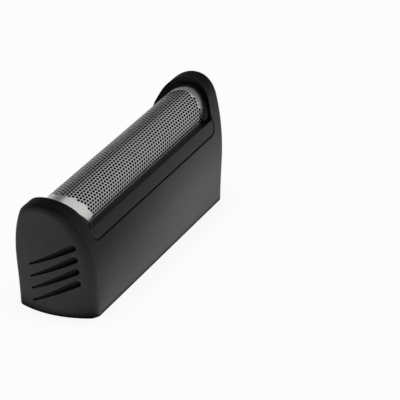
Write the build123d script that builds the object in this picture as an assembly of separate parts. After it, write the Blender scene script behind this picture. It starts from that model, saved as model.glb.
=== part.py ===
from build123d import *
import os
from math import atan2, cos, degrees, radians, sin

# Foil head of an electric shaver: an arched housing, a carrier that clips up into it from below
# and a thin perforated foil that the carrier holds. X runs along the head, Z points up, and the
# origin is in the middle of the open bottom. Lengths are in millimetres and angles in degrees.

# Housing
base_length = 52.5        # at the bottom, over the middle of the bowed ends
width = 14.3
height = 21.1
spring_height = 7.0       # the sides are upright to here, then curve inwards
crown_radius = 5.1        # top of the arch
end_bow = 1.8             # how far the end faces bulge outwards in plan
foot_lean = 3.0           # outward lean of the end faces at the bottom
flare_reach = 3.85        # how far they have curved outwards at the crown
end_bevel = 0.8           # between the end faces and the arch
end_soften = 0.28         # second bevels, which round off the edges of the first
side_wall = 1.3
end_wall = 2.0

# Opening in the crown and the two side windows
opening_reach = 26.6      # end of the opening from the middle of the head
opening_radius = 6.3      # its round ends, in plan
window_reach = 23.6       # end of a side window from the middle of the head
window_corner = 2.0
strip_height = 2.4        # from the sill of the windows up to the ledge beside the foil

# Grip notches in the end faces
notch_count = 4
notch_pitch = 2.3
notch_slope = 30.0
notch_length = 9.3
notch_narrow = 0.4
notch_wide = 1.3
notch_shallow = 0.35      # depth at the narrow end
notch_deep = 1.1          # depth at the wide end
notch_low = 1.9           # height of the lowest notch at its narrow end
notch_start = 3.5         # sideways place of the narrow ends

# Foil
foil_radius = 4.5
foil_sink = 1.7           # crest of the foil below the crown of the housing
foil_thickness = 0.15
foil_reach = 26.2         # end of the sheet at its crest, from the middle of the head
foil_end_radius = 5.4     # round ends of the sheet, in plan
foil_leg = 2.7            # upright lower edges, below the centre of the arch
hole_columns = 20
hole_rows = 5
hole_share = 0.66         # share of each step that is open
hole_zone_reach = 21.6    # end of the perforated zone
hole_zone_angle = 74.0    # lower edges of the zone, from the crest

# Carrier
seam = 0.25               # visible gap between the carrier's strips and the windows
flush_step = 0.08         # the strips lie this far below the outer wall
slide_gap = 0.1           # between the carrier and the inside of the housing
seat_gap = 0.03           # between the foil and the plastic on either side of it
ledge_rise = 0.2          # ledge where the foil comes out, above the centre of its arch
hood_thickness = 0.5      # arched hoods over the ends of the foil
hood_reach = 25.8         # end of the opening between the hoods
skirt_depth = 2.1         # part of the carrier below the sill
former_reach = 23.4       # inner face of the blocks that shape the ends of the foil

# Flat studs of the carrier that go through the foil's legs and are headed on the inside
stud_count = 6
stud_spread = 40.0        # from the first stud to the last
stud_length = 1.4
stud_height = 0.8
stud_head = 0.35          # how far a head stands out round its stud
stud_head_depth = 0.3

# Lugs in the housing: four under the carrier, and one in each end for the shaver's body
lug_length = 5.0
lug_depth = 0.7
lug_height = 2.6
lug_spread = 28.0
catch_length = 4.0
catch_depth = 0.5
catch_height = 1.4
catch_level = 4.2

half_width = width / 2
crown_centre = height - crown_radius
rise = crown_centre - spring_height
side_radius = (half_width**2 + rise**2 - crown_radius**2) / (2 * (half_width - crown_radius))
bow_radius = (half_width**2 + end_bow**2) / (2 * end_bow)
foil_axis = height - foil_sink - foil_radius
foil_tuck = foil_axis - foil_leg
ledge_height = foil_axis + ledge_rise
sill_height = ledge_height - strip_height
skirt_bottom = sill_height - skirt_depth
past = width              # how far cutting tools run past the surfaces that they cut
merge = 0.25              # how far two shapes of one moulding run into each other


# Section of the arch across the head, moved inwards by inset
def arch_face(inset, bottom):
    side = half_width - inset
    centre = half_width - side_radius
    turn = atan2(rise, -centre)
    bend = side_radius - inset
    middle = (centre + bend * cos(turn / 2), spring_height + bend * sin(turn / 2))
    shoulder = (centre + bend * cos(turn), spring_height + bend * sin(turn))
    outline = Line((side, bottom), (side, spring_height))
    outline += ThreePointArc((side, spring_height), middle, shoulder)
    outline += ThreePointArc(shoulder, (0, height - inset), (-shoulder[0], shoulder[1]))
    outline += ThreePointArc((-shoulder[0], shoulder[1]), (-middle[0], middle[1]), (-side, spring_height))
    outline += Line((-side, spring_height), (-side, bottom))
    outline += Line((-side, bottom), (side, bottom))
    return Plane.YZ * make_face(outline)


# Bell about an upright axis, which gives an end face its bow in plan and its curved flare
def end_bell(inset):
    foot = bow_radius - inset
    lip = foot + flare_reach
    lean = (sin(radians(foot_lean)), cos(radians(foot_lean)))
    outline = TangentArc((foot, 0), (lip, height), tangent=lean)
    above = [(lip, height), (lip, height + past), (0, height + past)]
    below = [(0, -past), (foot, -past), (foot, 0)]
    outline += Polyline(*above, *below)
    return revolve(Plane.XZ * make_face(outline), Axis.Z)


# The whole head as one block, moved inwards at its sides and its ends
def head_form(side_inset, end_inset, bottom):
    arch = extrude(arch_face(side_inset, bottom), amount=base_length, both=True)
    middle = base_length / 2 - bow_radius
    between = block(middle, width, -past, height + past)
    for turn in (0, 180):
        between += Rot(0, 0, turn) * Pos(-middle, 0, 0) * end_bell(end_inset)
    return arch & between


# Upright prism with straight sides and round ends in plan
def slot_prism(reach, radius, bottom, top):
    flat = 2 * (reach - radius)
    shape = Rectangle(flat, 2 * radius) + Pos(flat / 2, 0) * Circle(radius)
    shape += Pos(-flat / 2, 0) * Circle(radius)
    return Pos(0, 0, bottom) * extrude(shape, amount=top - bottom)


# Side windows: a rectangle with two round lower corners, right across the head
def window_prism(reach, bottom, corner):
    tall = height + past - bottom
    shape = Rectangle(2 * reach, tall)
    shape = fillet(shape.vertices().sort_by(Axis.Y)[:2], corner)
    face = Plane.XZ * Pos(0, bottom + tall / 2) * shape
    return extrude(face, amount=width, both=True)


# Arch of the foil with upright legs, as a solid bar along the head
def foil_bar(radius, reach, bottom):
    bar = Pos(0, 0, foil_axis) * Rot(0, 90, 0) * Cylinder(radius, 2 * reach)
    return bar + block(reach, radius, bottom, foil_axis)


# Box about the middle of the head
def block(reach, side, bottom, top):
    return Pos(0, 0, (bottom + top) / 2) * Box(2 * reach, 2 * side, top - bottom)


# Slanted notches of the end at -X, which widen and deepen to one side
def notch_tools(form):
    turn = degrees(atan2(notch_deep - notch_shallow, notch_length * cos(radians(notch_slope))))
    pivot = Pos(-base_length / 2, notch_start, 0)
    floor = pivot * Rot(0, 0, turn) * pivot.inverse() * Pos(notch_shallow, 0, 0) * form
    wide_end = Pos(-notch_length, 0) * Circle(notch_wide / 2)
    hull = make_hull(Circle(notch_narrow / 2).edges() + wide_end.edges())
    tools = []
    for index in range(notch_count):
        place = Pos(notch_start, notch_low + index * notch_pitch) * Rot(0, 0, -notch_slope)
        bar = extrude(Plane.YZ * place * hull, amount=-base_length)
        tools.append(bar - floor)
    return tools


# Wedge lugs under the carrier, on the inside of both long walls
def carrier_lugs():
    root = half_width - side_wall / 2
    tip = half_width - side_wall - lug_depth
    points = [(root, skirt_bottom), (tip, skirt_bottom), (root, skirt_bottom - lug_height)]
    wedge = Plane.YZ * make_face(Polyline(*points, close=True))
    wedge = extrude(wedge, amount=lug_length / 2, both=True)
    lugs = []
    for place in (-lug_spread / 2, lug_spread / 2):
        for turn in (0, 180):
            lugs.append(Rot(0, 0, turn) * Pos(place, 0, 0) * wedge)
    return lugs


# Catches for the shaver's body, on the inside of both end walls
def body_catches():
    root = base_length / 2 - end_wall / 2
    tip = base_length / 2 - end_wall - catch_depth
    points = [(root, catch_level), (tip, catch_level), (root, catch_level - catch_height)]
    wedge = Plane.XZ * make_face(Polyline(*points, close=True))
    wedge = extrude(wedge, amount=catch_length / 2, both=True)
    return [wedge, Rot(0, 0, 180) * wedge]


# Long edges all round the end faces
def end_rims(form):
    inside = base_length / 2 - end_bow - end_wall
    ends = [e for e in form.edges() if abs(e.center().X) > inside]
    return [e for e in ends if e.bounding_box().size.Z > end_bevel]


def make_housing():
    outer = head_form(0, 0, 0)
    body = chamfer(end_rims(outer), end_bevel)
    body = chamfer(end_rims(body), end_soften)
    body -= head_form(side_wall, end_wall, -past) & block(base_length, width, -past, sill_height)
    body -= slot_prism(opening_reach, opening_radius, sill_height - seam, height + past)
    body -= window_prism(window_reach, sill_height, window_corner)
    for tool in notch_tools(outer):
        body -= tool
        body -= Rot(0, 0, 180) * tool
    for lug in carrier_lugs() + body_catches():
        body += lug
    return body


# The studs as flat bars across the head, wider by margin and from one distance off the middle to another
def stud_bars(margin, inner, outer):
    bar = Box(stud_length + 2 * margin, outer - inner, stud_height + 2 * margin)
    step = stud_spread / (stud_count - 1)
    bars = []
    for index in range(stud_count):
        place = Pos(index * step - stud_spread / 2, (inner + outer) / 2, (foil_tuck + foil_axis) / 2)
        for turn in (0, 180):
            bars.append(Rot(0, 0, turn) * place * bar)
    return bars


def make_carrier():
    inner = head_form(side_wall + slide_gap, end_wall + slide_gap, 0)
    skirt = inner & block(base_length, width, skirt_bottom, sill_height)
    reach = opening_reach - slide_gap
    radius = opening_radius - slide_gap
    core = inner & slot_prism(reach, radius, skirt_bottom, sill_height + seam + merge)
    strips = slot_prism(reach, radius, sill_height + seam, height)
    strips &= window_prism(base_length, sill_height + seam, seam)
    strips += window_prism(window_reach - seam, sill_height + seam, window_corner - seam)
    strips &= head_form(flush_step, 0, 0)
    body = skirt + core + strips
    hood_radius = foil_radius + hood_thickness
    body &= block(base_length, width, 0, ledge_height) + foil_bar(hood_radius, base_length, 0)
    view = slot_prism(hood_reach, hood_radius + slide_gap, ledge_height, height)
    body -= view - foil_bar(foil_radius, base_length, 0)
    foil_room = foil_bar(foil_radius + seat_gap, base_length, foil_tuck - seat_gap)
    foil_room -= foil_bar(foil_radius - foil_thickness - seat_gap, 2 * base_length, 0)
    foil_room &= slot_prism(foil_reach + seat_gap, foil_end_radius + seat_gap, 0, height)
    body -= foil_room
    body -= foil_bar(foil_radius + seat_gap, former_reach, 0)
    back = foil_radius - foil_thickness - seat_gap
    body += stud_bars(0, back - stud_head_depth, foil_radius + merge)
    body += stud_bars(stud_head, back - stud_head_depth, back)
    return body


def make_foil():
    sheet = foil_bar(foil_radius, base_length, foil_tuck)
    sheet -= foil_bar(foil_radius - foil_thickness, 2 * base_length, 0)
    sheet &= slot_prism(foil_reach, foil_end_radius, 0, height)
    step = 2 * hole_zone_reach / hole_columns
    turn = 2 * hole_zone_angle / hole_rows
    hole = Box(step * hole_share, radians(turn) * foil_radius * hole_share, foil_radius)
    holes = []
    for row in range(hole_rows):
        for column in range(hole_columns):
            place = Pos((column + 0.5) * step - hole_zone_reach, 0, foil_axis)
            lean = (row + 0.5) * turn - hole_zone_angle
            holes.append(place * Rot(lean, 0, 0) * Pos(0, 0, foil_radius) * hole)
    return sheet - holes - stud_bars(seat_gap, foil_radius / 2, width)


os.makedirs("parts", exist_ok=True)
for name, shape in (("housing", make_housing()), ("carrier", make_carrier()), ("foil", make_foil())):
    export_step(shape, f"parts/{name}.step")
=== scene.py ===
import bpy
import bmesh
from math import cos, pi, radians, sin
from mathutils import Matrix, Vector


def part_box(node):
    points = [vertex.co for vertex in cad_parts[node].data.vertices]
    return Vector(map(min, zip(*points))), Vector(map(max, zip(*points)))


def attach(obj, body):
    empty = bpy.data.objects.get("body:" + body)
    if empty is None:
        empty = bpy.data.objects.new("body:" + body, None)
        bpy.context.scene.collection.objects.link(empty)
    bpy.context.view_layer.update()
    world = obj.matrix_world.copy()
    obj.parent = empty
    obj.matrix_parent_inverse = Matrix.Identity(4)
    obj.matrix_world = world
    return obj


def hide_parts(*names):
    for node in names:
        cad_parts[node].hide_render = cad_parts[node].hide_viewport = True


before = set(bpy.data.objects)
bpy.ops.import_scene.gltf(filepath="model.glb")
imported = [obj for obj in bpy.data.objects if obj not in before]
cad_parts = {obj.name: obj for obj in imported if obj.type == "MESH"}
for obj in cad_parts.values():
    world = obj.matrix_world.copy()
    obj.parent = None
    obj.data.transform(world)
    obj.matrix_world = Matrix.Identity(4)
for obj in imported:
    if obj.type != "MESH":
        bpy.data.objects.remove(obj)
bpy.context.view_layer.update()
scene = bpy.context.scene
scene.view_settings.view_transform = "Standard"
mm = 0.001
radian = 180 / pi   # in degrees
white = (1, 1, 1)


# A socket of a node tree. Maths on it adds Math nodes, and node() adds any other node.
class Wire:
    def __init__(self, tree, socket=None):
        self.tree = tree
        self.socket = socket

    def node(self, kind, settings=None, values=None, out=0):
        made = self.tree.nodes.new(kind)
        for key, value in (settings or {}).items():
            setattr(made, key, value)
        for key, value in (values or {}).items():
            for item in value if isinstance(value, list) else [value]:
                if isinstance(item, Wire):
                    self.tree.links.new(item.socket, made.inputs[key])
                else:
                    made.inputs[key].default_value = item
        return Wire(self.tree, made.outputs[out] if made.outputs else None)

    # another output of the same node
    def also(self, out):
        return Wire(self.tree, self.socket.node.outputs[out])

    def maths(self, operation, first, second=0.0):
        return self.node("ShaderNodeMath", {"operation": operation}, {0: first, 1: second})

    def __add__(self, other):
        return self.maths("ADD", self, other)

    __radd__ = __add__

    def __sub__(self, other):
        return self.maths("SUBTRACT", self, other)

    def __rsub__(self, other):
        return self.maths("SUBTRACT", other, self)

    def __mul__(self, other):
        return self.maths("MULTIPLY", self, other)

    __rmul__ = __mul__

    def __truediv__(self, other):
        return self.maths("DIVIDE", self, other)

    def __abs__(self):
        return self.maths("ABSOLUTE", self)

    def atLeast(self, low):
        return self.maths("MAXIMUM", self, low)

    def atMost(self, high):
        return self.maths("MINIMUM", self, high)

    def clip(self, low, high):
        return self.atMost(high).atLeast(low)

    # goes from 0 at start to 1 at end
    def ease(self, start, end):
        return self.node("ShaderNodeMapRange", {"interpolation_type": "SMOOTHSTEP"},
                         {"Value": self, "From Min": start, "From Max": end})

    # noise, moved so that it swings about zero
    def swing(self):
        return self - 0.5

    def tinted(self, rgb):
        return self.node("ShaderNodeCombineColor", None,
                         {"Red": self * rgb[0], "Green": self * rgb[1], "Blue": self * rgb[2]})


def linkObject(obj):
    scene.collection.objects.link(obj)
    return obj


# A new material with one Principled shader. Returns it, its shader node and a wire to build from.
def startMaterial(name):
    mat = bpy.data.materials.new(name)
    mat.use_nodes = True
    shader = next(n for n in mat.node_tree.nodes if n.type == "BSDF_PRINCIPLED")
    return mat, shader, Wire(mat.node_tree)


def feed(wire, shader, socket):
    wire.tree.links.new(wire.socket, shader.inputs[socket])


# Soft noise with spots of about the given size
def noise(place, size, detail):
    return place.node("ShaderNodeTexNoise", None, {"Vector": place, "Scale": 1 / size, "Detail": detail})


# Moulded black plastic: eroded grain, faint patches, painted shade in the grooves, and edges that look
# rounded, rubbed and lit by a painted highlight
def blackPlastic(name, look):
    mat, shader, wire = startMaterial(name)
    place = wire.node("ShaderNodeTexCoord", out="Object")
    grain = noise(place, look["grain"], look["grainDetail"])
    patch = noise(place, look["patch"], look["patchDetail"])
    pits = wire.node("ShaderNodeTexVoronoi", None, {"Vector": place, "Scale": 1 / look["pits"]})
    soft = wire.node("ShaderNodeBevel", {"samples": look["samples"]}, {"Radius": look["edge"]})
    facing = wire.node("ShaderNodeNewGeometry", out="Normal")
    level = wire.node("ShaderNodeVectorMath", {"operation": "DOT_PRODUCT"},
                      {0: soft, 1: facing}, out="Value")
    # edges are paler in the colour: partly rubbed wear, partly a painted highlight
    edgeWearAndHighlight = (1 - level).ease(*look["rubAndHighlightTurn"])
    clear = wire.node("ShaderNodeAmbientOcclusion", {"samples": look["samples"], "only_local": True},
                      {"Distance": look["groove"]}, out="AO")
    # painted shade: grooves and notches are darker in the colour where walls close in
    paintedGrooveShade = clear.ease(*look["grooveClear"]) * look["grooveShadeShare"]
    mottle = patch.swing() * look["patchShare"] + grain.swing() * look["grainShare"]
    tone = (mottle + edgeWearAndHighlight * look["rubAndHighlightShare"] + 1) * (1 - paintedGrooveShade)
    feed(tone.tinted(look["rgb"]), shader, "Base Color")
    rough = (patch.swing() + grain.swing()) * look["roughVary"] - edgeWearAndHighlight * look["rubShine"] + look["rough"]
    feed(rough, shader, "Roughness")
    bump = wire.node("ShaderNodeBump", None, {
        "Height": grain + pits * look["pitShare"],
        "Strength": look["bump"],
        "Distance": look["depth"],
        "Normal": soft})
    feed(bump, shader, "Normal")
    feed(edgeWearAndHighlight * look["edgeCoat"], shader, "Coat Weight")
    shader.inputs["Coat Roughness"].default_value = look["coatRough"]
    shader.inputs["Specular IOR Level"].default_value = look["specular"]
    return mat


# what both mouldings share
mouldedFinish = {
    "samples": 4,                  # rays that feel for edges and grooves
    "grainDetail": 3.0,
    "patchDetail": 2.0,
    "pitShare": 0.6,               # depth of the pits beside the grain's
    "rubAndHighlightTurn": (0.05, 0.25),       # turn of an edge at which rubbing and the painted highlight start and are full
    "grooveClear": (0.85, 0.35),   # openness at which the painted shade in a groove starts and is darkest
    "coatRough": 0.22,
}
housingLook = {
    **mouldedFinish,
    "rgb": (0.040, 0.040, 0.041),
    "rough": 0.55,
    "roughVary": 0.12,
    "specular": 0.03,
    "grain": 0.30 * mm,            # size of the eroded grain
    "pits": 0.30 * mm,
    "patch": 9.0 * mm,
    "patchShare": 0.16,
    "grainShare": 0.70,
    "bump": 0.35,
    "depth": 0.03 * mm,
    "groove": 1.2 * mm,            # walls nearer than this paint shade into a groove
    "grooveShadeShare": 0.75,
    "edge": 0.18 * mm,             # rounding that shows on the edges
    "rubAndHighlightShare": 0.50,
    "rubShine": 0.12,
    "edgeCoat": 1.0,               # gloss of the rubbed edges
}
carrierLook = {
    **mouldedFinish,
    "rgb": (0.020, 0.020, 0.0205),
    "rough": 0.36,
    "roughVary": 0.10,
    "specular": 0.10,
    "grain": 0.30 * mm,
    "pits": 0.45 * mm,
    "patch": 7.0 * mm,
    "patchShare": 0.20,
    "grainShare": 0.25,
    "bump": 0.15,
    "depth": 0.02 * mm,
    "groove": 0.8 * mm,
    "grooveShadeShare": 0.4,
    "edge": 0.15 * mm,
    "rubAndHighlightShare": 0.15,
    "rubShine": 0.08,
    "edgeCoat": 0.6,
}
housingPlastic = blackPlastic("housingPlastic", housingLook)
carrierPlastic = blackPlastic("carrierPlastic", carrierLook)
print("plastics made")

foilLook = {
    "rgb": (0.58, 0.575, 0.565),
    "rough": 0.14,
    "roughVary": 0.10,
    "drawn": (0.9 * mm, 0.05 * mm),   # length and width of the faint marks along the sheet
    "drawnDetail": 3.0,
    "drawnShare": 0.16,
    "cloud": 6.0 * mm,
    "cloudDetail": 2.0,
    "cloudShare": 0.12,
    "marginSoft": 0.4 * mm,           # width over which the plain margins begin
    "marginShare": 0.36,              # plain margins are paler
    "marginRough": (0.27, 0.75),      # plain margins are duller, most of all the one at +X
    "middle": 1.0 * mm,               # this near the middle, one margin's roughness turns into the other's
    "bump": 0.10,
    "depth": 0.008 * mm,
}


# Half of the perforated length: longest at the crest, where share is 0, and shortest at the sides
def holeZone(sheet, share):
    return sheet["zoneCrest"] - (sheet["zoneCrest"] - sheet["zoneSide"]) * (share * share)


# Bright nickel sheet with faint marks along its length, paler and duller outside the holes
def nickelSheet(name, look, sheet):
    mat, shader, wire = startMaterial(name)
    place = wire.node("ShaderNodeTexCoord", out="Object")
    along, across = look["drawn"]
    perMark = (1 / along, 1 / across, 1 / across)
    stretched = wire.node("ShaderNodeMapping", None, {"Vector": place, "Scale": perMark})
    marks = noise(stretched, 1.0, look["drawnDetail"])
    cloud = noise(place, look["cloud"], look["cloudDetail"])
    x = wire.node("ShaderNodeSeparateXYZ", None, {"Vector": place})
    zone = holeZone(sheet, x.also("Y") / sheet["radius"])
    margin = (abs(x - sheet["zoneShift"]) - zone).ease(0.0, look["marginSoft"])
    mottle = marks.swing() * look["drawnShare"] + cloud.swing() * look["cloudShare"]
    feed((mottle + margin * look["marginShare"] + 1).tinted(look["rgb"]), shader, "Base Color")
    nearRough, farRough = look["marginRough"]
    marginRough = x.ease(-look["middle"], look["middle"]) * (farRough - nearRough) + nearRough
    rough = (marginRough - look["rough"]) * margin + look["rough"]
    feed(marks.swing() * look["roughVary"] + rough, shader, "Roughness")
    bump = wire.node("ShaderNodeBump", None,
                     {"Height": marks, "Strength": look["bump"], "Distance": look["depth"]})
    feed(bump, shader, "Normal")
    shader.inputs["Metallic"].default_value = 1.0
    return mat


foilLow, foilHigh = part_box("foil")
foilSheet = {
    "radius": foilHigh.y,                    # outside of the arch
    "axis": foilHigh.z - foilHigh.y,         # height of the arch's centre
    "leg": foilHigh.z - foilHigh.y - foilLow.z,
    "reach": foilHigh.x,                     # end of the sheet at its crest
    "endRadius": 5.4 * mm,                   # round ends, in plan
    "thickness": 0.07 * mm,
    "columns": 58,
    "rows": 25,                              # an odd number; every second row is shifted by half a cell
    "columnStep": 0.815 * mm,
    "rowSpan": radians(170),                 # perforated part of the arch
    "zoneCrest": 22.8 * mm,                  # half of the perforated length at the crest
    "zoneSide": 20.75 * mm,                  # and at the ledges
    "zoneShift": 1.15 * mm,                  # the holes lie nearer to one end
    "holeLength": 0.63 * mm,
    "holeWidth": 0.43 * mm,
    "holeCorner": 0.90,                      # corners between a circle and a square
    "edgeDrop": 0.02 * mm,                   # the bars fall towards the holes
    "barLoops": ((0.35, 0.15), (0.0, 1.0)),  # place of each loop from hole to rim, and its share of the drop
    "marginParts": 5,
    "hemParts": 4,
    "sharpTurn": radians(40),                # edges that turn more than this stay sharp
}
foilSheet["rowStep"] = foilSheet["rowSpan"] * foilSheet["radius"] / foilSheet["rows"]
foilNickel = nickelSheet("foilNickel", foilLook, foilSheet)


# One cell of the sheet, two units wide: a frame round an eight-sided hole, or a plain square
def cellObject(name, sheet, isOpen):
    bm = bmesh.new()
    rim = [(1, 0), (1, 1), (0, 1), (-1, 1), (-1, 0), (-1, -1), (0, -1), (1, -1)]
    corners = len(rim)
    outer = [bm.verts.new((x, y, 0)) for x, y in rim]
    if isOpen:
        rings = [outer]
        holeX = sheet["holeLength"] / sheet["columnStep"]
        holeY = sheet["holeWidth"] / sheet["rowStep"]
        for share, drop in sheet["barLoops"]:
            ring = []
            for step, (x, y) in enumerate(rim):
                corner = sheet["holeCorner"] if step % 2 else 1.0
                spotX = x * holeX * corner * (1 - share) + x * share
                spotY = y * holeY * corner * (1 - share) + y * share
                ring.append(bm.verts.new((spotX, spotY, -drop * sheet["edgeDrop"])))
            rings.append(ring)
        for first, second in zip(rings, rings[1:]):
            for step in range(corners):
                after = (step + 1) % corners
                bm.faces.new((first[step], first[after], second[after], second[step]))
    else:
        middle = bm.verts.new((0, 0, 0))
        for step in range(1, corners, 2):
            bm.faces.new((outer[step - 1], outer[step], outer[(step + 1) % corners], middle))
    bm.normal_update()
    mesh = bpy.data.meshes.new(name)
    bm.to_mesh(mesh)
    bm.free()
    return linkObject(bpy.data.objects.new(name, mesh))


# Tree for the foil: cells, margins and hems are laid on a flat grid of half cells, then bent into the arch
def foilTree():
    tree = bpy.data.node_groups.new("foilScreen", "GeometryNodeTree")
    tree.interface.new_socket("Geometry", in_out="OUTPUT", socket_type="NodeSocketGeometry")
    inputs = {
        "Object": ["holeCell", "plainCell"],
        "Material": ["metal"],
        "Int": ["columns", "rows", "marginParts", "hemParts"],
        "Float": ["columnStep", "rowStep", "radius", "axis", "leg", "reach", "endRadius",
                  "zoneCrest", "zoneSide", "zoneShift"],
    }
    for kind, names in inputs.items():
        for name in names:
            tree.interface.new_socket(name, in_out="INPUT", socket_type="NodeSocket" + kind)
    group = tree.nodes.new("NodeGroupInput")
    size = {name: Wire(tree, group.outputs[name]) for names in inputs.values() for name in names}
    wire = Wire(tree)
    columns, rows = size["columns"], size["rows"]
    marginParts, hemParts = size["marginParts"], size["hemParts"]
    cell = 2          # units across a cell
    mergeGap = 0.01   # in the same units

    def flatGrid(sizeX, sizeY, countX, countY, offsetX=0.0, offsetY=0.0):
        grid = wire.node("GeometryNodeMeshGrid", None,
                         {"Size X": sizeX, "Size Y": sizeY, "Vertices X": countX, "Vertices Y": countY})
        offset = wire.node("ShaderNodeCombineXYZ", None, {"X": offsetX, "Y": offsetY})
        return wire.node("GeometryNodeTransform", None, {"Geometry": grid, "Translation": offset})

    def copies(points, shape, chosen=True):
        return wire.node("GeometryNodeInstanceOnPoints", None,
                         {"Points": points, "Selection": chosen, "Instance": shape})

    x = wire.node("ShaderNodeSeparateXYZ", None, {"Vector": wire.node("GeometryNodeInputPosition")})
    y, z = x.also("Y"), x.also("Z")

    # place across the flat sheet, along the arc, then as an angle from the crest and a length of leg
    rowsOut = abs(y)
    halfRow = size["rowStep"] / cell
    quarter = size["radius"] * (pi / 2)
    hemStep = (quarter + size["leg"] - rows * halfRow) / hemParts
    arc = rowsOut.atMost(rows) * halfRow + (rowsOut - rows).atLeast(0.0) * hemStep
    angle = arc.atMost(quarter) / size["radius"]
    down = (arc - quarter).atLeast(0.0)
    side = wire.maths("SINE", angle) * size["radius"]

    # place along the sheet: holes at an even step, then a margin up to the round end
    endRound = wire.maths("SQRT", size["endRadius"] * size["endRadius"] - side * side)
    sheetEnd = size["reach"] - size["endRadius"] + endRound
    inner = x.clip(0 - columns, columns) * (size["columnStep"] / cell)
    outward = (abs(x) - columns).atLeast(0.0) / marginParts
    start = inner + size["zoneShift"]
    along = start + (wire.maths("SIGN", x) * sheetEnd - start) * outward

    # cells with holes lie inside a bowed zone, and plain ones outside it
    inZone = wire.maths("LESS_THAN", abs(inner), holeZone(size, side / size["radius"]))
    longRows, shortRows = (rows + 1) / 2, (rows - 1) / 2
    sheetParts = []
    for count, lines in ((columns, longRows), (columns - 1, shortRows)):
        centres = flatGrid((count - 1) * cell, (lines - 1) * cell * 2, count, lines)
        for name, chosen in (("holeCell", inZone), ("plainCell", 1 - inZone)):
            shape = wire.node("GeometryNodeObjectInfo", None, {"Object": size[name]}, out="Geometry")
            sheetParts.append(copies(centres, shape, chosen))

    # a short row has half a plain cell at each end
    rowEnds = flatGrid(columns * cell - 1, (shortRows - 1) * cell * 2, 2, shortRows)
    sheetParts.append(copies(rowEnds, flatGrid(1.0, 2.0, 2, 3)))

    # margins at both ends, and hems along both sides
    wide, deep = columns * cell, (rows + hemParts) * cell
    for end in (-1, 1):
        marginAt = (columns + marginParts / 2) * end
        hemAt = (rows + hemParts / 2) * end
        sheetParts.append(flatGrid(marginParts, deep, marginParts + 1, deep + 1, offsetX=marginAt))
        sheetParts.append(flatGrid(wide, hemParts, wide + 1, hemParts + 1, offsetY=hemAt))
    joined = wire.node("GeometryNodeJoinGeometry", None, {"Geometry": sheetParts})
    flat = wire.node("GeometryNodeRealizeInstances", None, {"Geometry": joined})
    flat = wire.node("GeometryNodeMergeByDistance", None, {"Geometry": flat, "Distance": mergeGap})

    radial = size["radius"] + z
    bent = wire.node("ShaderNodeCombineXYZ", None, {
        "X": along,
        "Y": wire.maths("SIGN", y) * wire.maths("SINE", angle) * radial,
        "Z": size["axis"] + wire.maths("COSINE", angle) * radial - down})
    arch = wire.node("GeometryNodeSetPosition", None, {"Geometry": flat, "Position": bent})
    done = wire.node("GeometryNodeRealizeInstances", None, {"Geometry": arch})
    done = wire.node("GeometryNodeSetMaterial", None, {"Geometry": done, "Material": size["metal"]})
    wire.node("NodeGroupOutput", None, {"Geometry": done})
    return tree


def makeFoil(sheet, metal):
    holeCell = cellObject("holeCell", sheet, True)
    plainCell = cellObject("plainCell", sheet, False)
    tree = foilTree()
    piece = linkObject(bpy.data.objects.new("foilScreen", bpy.data.meshes.new("foilScreen")))
    screen = piece.modifiers.new("screen", "NODES")
    screen.node_group = tree
    given = dict(sheet, holeCell=holeCell, plainCell=plainCell, metal=metal)
    for socket in tree.interface.items_tree:
        if socket.in_out == "INPUT":
            screen[socket.identifier] = given[socket.name]
    wall = piece.modifiers.new("wall", "SOLIDIFY")
    wall.thickness = sheet["thickness"]
    wall.offset = -1   # inwards
    graph = bpy.context.evaluated_depsgraph_get()
    mesh = bpy.data.meshes.new_from_object(piece.evaluated_get(graph))
    piece.modifiers.clear()
    piece.data = mesh
    mesh.shade_smooth()
    mesh.set_sharp_from_angle(angle=sheet["sharpTurn"])
    for helper in (holeCell, plainCell):
        bpy.data.objects.remove(helper)
    return piece


foil = makeFoil(foilSheet, foilNickel)
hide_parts("foil")
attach(foil, "root")
foil.data.calc_loop_triangles()
print("foil made,", len(foil.data.loop_triangles), "triangles")

for nodeName, plastic in (("housing", housingPlastic), ("carrier", carrierPlastic)):
    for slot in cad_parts[nodeName].material_slots:
        slot.material = plastic
print("housing and carrier finished")

photoView = {
    "azimuth": -65.11,
    "elevation": 25.81,
    "roll": -0.53,
    "focal": 2652.0,             # in pixels of the square image
    "image": 400,
    "scale": 5.97 / mm,          # pixels for a metre at the aim point
    "pixel": (123.22, 196.72),   # where the aim point is in the image
    "aim": (0, 0, 9.545 * mm),
    "sensor": 36.0,
    "clip": (0.01, 20.0),
}


def makeCamera(shot):
    data = bpy.data.cameras.new("camera")
    camera = linkObject(bpy.data.objects.new("camera", data))
    around, above = radians(shot["azimuth"]), radians(shot["elevation"])
    back = Vector((sin(around) * cos(above), -cos(around) * cos(above), sin(above)))
    right = Vector((cos(around), sin(around), 0))
    turn = Matrix.Rotation(radians(shot["roll"]), 3, back)
    right, up = turn @ right, turn @ back.cross(right)
    far = shot["focal"] / shot["scale"]
    half = shot["image"] / 2
    shiftX, shiftY = ((p - half) / shot["scale"] for p in shot["pixel"])
    spot = Vector(shot["aim"]) + back * far - right * shiftX + up * shiftY
    axes = Matrix((right, up, back)).transposed()
    camera.matrix_world = Matrix.Translation(spot) @ axes.to_4x4()
    data.sensor_width = shot["sensor"]
    data.lens = shot["focal"] / shot["image"] * shot["sensor"]
    data.clip_start, data.clip_end = shot["clip"]
    scene.camera = camera


makeCamera(photoView)
print("camera set")

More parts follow.
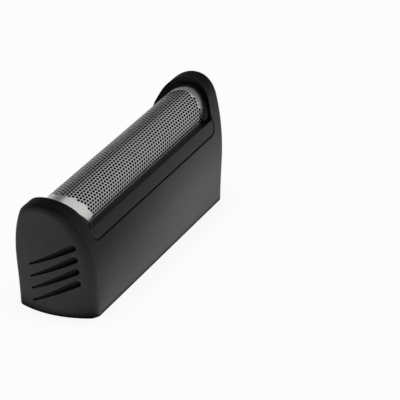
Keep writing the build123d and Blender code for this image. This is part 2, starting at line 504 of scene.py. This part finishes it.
studio = {
    "floorSize": 6.0,
    "floorRgb": (0.86, 0.86, 0.86),
    "floorRough": 0.9,
    "floorSpecular": 0.1,
    "floorWhite": 0.97,                    # share of plain white that the camera sees on the floor
    "floorShine": 0.60,                    # how bright the floor is in gloss
    "shadow": (24.0 * mm, 6.3 * mm),       # the floor under the head stays dark, out to here
    "shadowSoft": 0.5 * mm,
    "contact": 6.0 * mm,                   # painted soft shadow round the foot of the head
    "contactShade": 0.10,
    "contactSamples": 4,
    "fill": 0.08,                          # even light from all round
    "dim": 0.19,                           # what gloss sees between the cards
    # soft white cards round the table, in degrees:
    # heading from +X towards +Y, half width, upper edge and soft side edges
    "cards": {
        "right": {"heading": -30, "half": 46, "top": 46, "soft": 3, "shade": 0.72},
        "back": {"heading": 92, "half": 54, "top": 40, "soft": 5, "shade": 0.75},
        "left": {"heading": 170, "half": 24, "top": 40, "soft": 8, "shade": 0.40},
    },
    "topSoft": 8,                          # soft upper edge of every card
    # flat light panels on the table, which shine upwards, in metres
    "panels": {
        "sideStrip": {"at": (0.003, -0.0114), "wide": 0.054, "deep": 0.008, "watts": 0.0060},
        "sidePanel": {"at": (0.030, -0.038), "wide": 0.060, "deep": 0.045, "watts": 0.040},
        "endPanel": {"at": (-0.077, 0.025), "wide": 0.10, "deep": 0.12, "watts": 0.050},
        "backPanel": {"at": (0.00, 0.033), "wide": 0.062, "deep": 0.05, "watts": 0.022},
        "farPanel": {"at": (0.077, 0.025), "wide": 0.10, "deep": 0.12, "watts": 0.04},
    },
    "panelLift": 0.2 * mm,
}


def glossShare(path):
    return (path.also("Is Glossy Ray") + path.also("Is Transmission Ray")).clip(0.0, 1.0)


# The floor's share of plain glow, for the camera and for gloss but not under the head, and the glow's
# colour, with a painted contact shadow round the head
def floorGlow(wire, look):
    path = wire.node("ShaderNodeLightPath")
    camera, gloss = path.also("Is Camera Ray"), glossShare(path)
    place = wire.node("ShaderNodeTexCoord", out="Object")
    x = wire.node("ShaderNodeSeparateXYZ", None, {"Vector": place})
    reach, side = look["shadow"]
    underX = abs(x).ease(reach + look["shadowSoft"], reach)
    underY = abs(x.also("Y")).ease(side + look["shadowSoft"], side)
    share = (camera * look["floorWhite"] + gloss).clip(0.0, 1.0) * (1 - underX * underY)
    clear = wire.node("ShaderNodeAmbientOcclusion", {"samples": look["contactSamples"]},
                      {"Distance": look["contact"]}, out="AO")
    shine = 1 - gloss * (1 - look["floorShine"])
    # painted contact shadow: the glow is darker where the head is near
    shade = 1 - (1 - clear) * look["contactShade"]
    return share, (shine * shade).tinted(white)


def makeFloor(look):
    half = look["floorSize"] / 2
    corners = [(-half, -half, 0), (half, -half, 0), (half, half, 0), (-half, half, 0)]
    mesh = bpy.data.meshes.new("floor")
    mesh.from_pydata(corners, [], [(0, 1, 2, 3)])
    floor = linkObject(bpy.data.objects.new("floor", mesh))
    mat, shader, wire = startMaterial("floorPaper")
    shader.inputs["Base Color"].default_value = (*look["floorRgb"], 1)
    shader.inputs["Roughness"].default_value = look["floorRough"]
    shader.inputs["Specular IOR Level"].default_value = look["floorSpecular"]
    share, colour = floorGlow(wire, look)
    glow = wire.node("ShaderNodeEmission", None, {"Color": colour, "Strength": 1.0})
    paper = Wire(wire.tree, shader.outputs[0])
    mixed = wire.node("ShaderNodeMixShader", None, {0: share, 1: paper, 2: glow})
    surface = next(n for n in mat.node_tree.nodes if n.type == "OUTPUT_MATERIAL")
    feed(mixed, surface, "Surface")
    mesh.materials.append(mat)


# Light of the world in one direction: an even fill, in which gloss and the camera see the cards
def cardLight(sky, look):
    path = sky.node("ShaderNodeLightPath")
    seen = (glossShare(path) + path.also("Is Camera Ray")).clip(0.0, 1.0)
    way = sky.node("ShaderNodeTexCoord", out="Generated")
    x = sky.node("ShaderNodeSeparateXYZ", None, {"Vector": way})
    y, z = x.also("Y"), x.also("Z")
    flat = sky.maths("SQRT", x * x + y * y)
    lift = sky.maths("ARCSINE", z) * radian
    cards = look["dim"]
    for card in look["cards"].values():
        heading = radians(card["heading"])
        ahead = (x * cos(heading) + y * sin(heading)) / flat
        off = sky.maths("ARCCOSINE", ahead.clip(-1.0, 1.0)) * radian
        across = off.ease(card["half"] + card["soft"], card["half"] - card["soft"])
        below = lift.ease(card["top"] + look["topSoft"], card["top"] - look["topSoft"])
        cards = across * below * (card["shade"] - look["dim"]) + cards
    return seen * cards + (1 - seen) * look["fill"]


def makeWorld(look):
    world = bpy.data.worlds.new("studioWorld")
    scene.world = world
    world.use_nodes = True
    ground = next(n for n in world.node_tree.nodes if n.type == "BACKGROUND")
    feed(cardLight(Wire(world.node_tree), look).tinted(white), ground, "Color")


def makePanels(look):
    for name, panel in look["panels"].items():
        data = bpy.data.lights.new(name, "AREA")
        data.shape = "RECTANGLE"
        data.size, data.size_y = panel["wide"], panel["deep"]
        data.energy = panel["watts"]
        lamp = linkObject(bpy.data.objects.new(name, data))
        lamp.location = (*panel["at"], look["panelLift"])
        lamp.rotation_euler = (pi, 0, 0)
        lamp.visible_camera = lamp.visible_glossy = False


makeFloor(studio)
makeWorld(studio)
makePanels(studio)
print("studio made")
